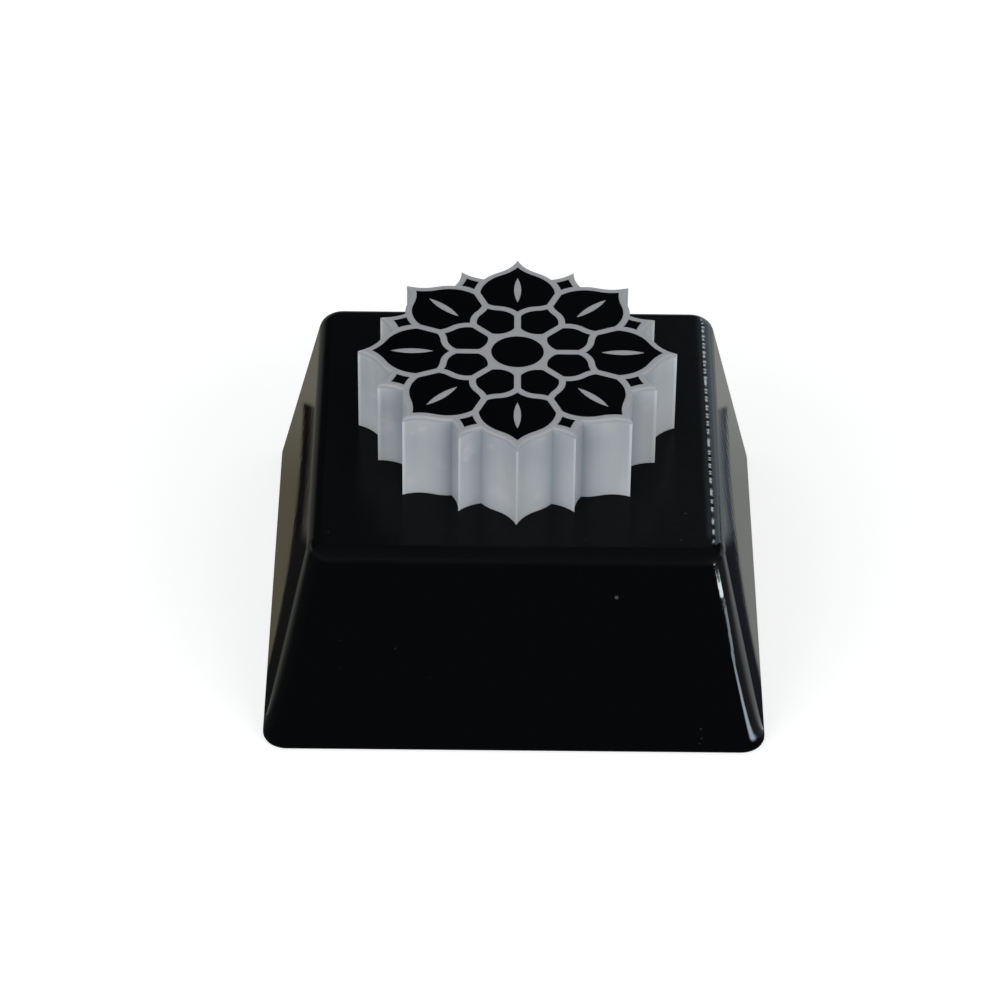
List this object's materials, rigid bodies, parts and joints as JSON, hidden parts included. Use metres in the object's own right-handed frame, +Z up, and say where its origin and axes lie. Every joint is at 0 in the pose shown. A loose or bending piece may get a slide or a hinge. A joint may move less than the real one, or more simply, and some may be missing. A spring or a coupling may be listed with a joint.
{
  "type": "keycap",
  "caption": "Tapered glossy black keycap with a raised, frosted rosette emblem on its flat top, hollow below, with a post whose cross socket pushes on to a key switch.",
  "frame": {"origin": "middle of the cap's rim plane, where a key switch's stem axis crosses it", "axes": "+Z up through the emblem, +X to the typist's right, -Y towards the typist"},
  "size_m": [0.018, 0.018, 0.0113],
  "materials": {
    "cap_gloss_black": "gloss",
    "emblem_frosted_grey": "frosted",
    "inlay_black": "satin"
  },
  "bodies": {
    "root": {"cap_shell": "cap_gloss_black", "emblem_block": "emblem_frosted_grey", "emblem_inlay": "inlay_black"}
  },
  "joints": []
}
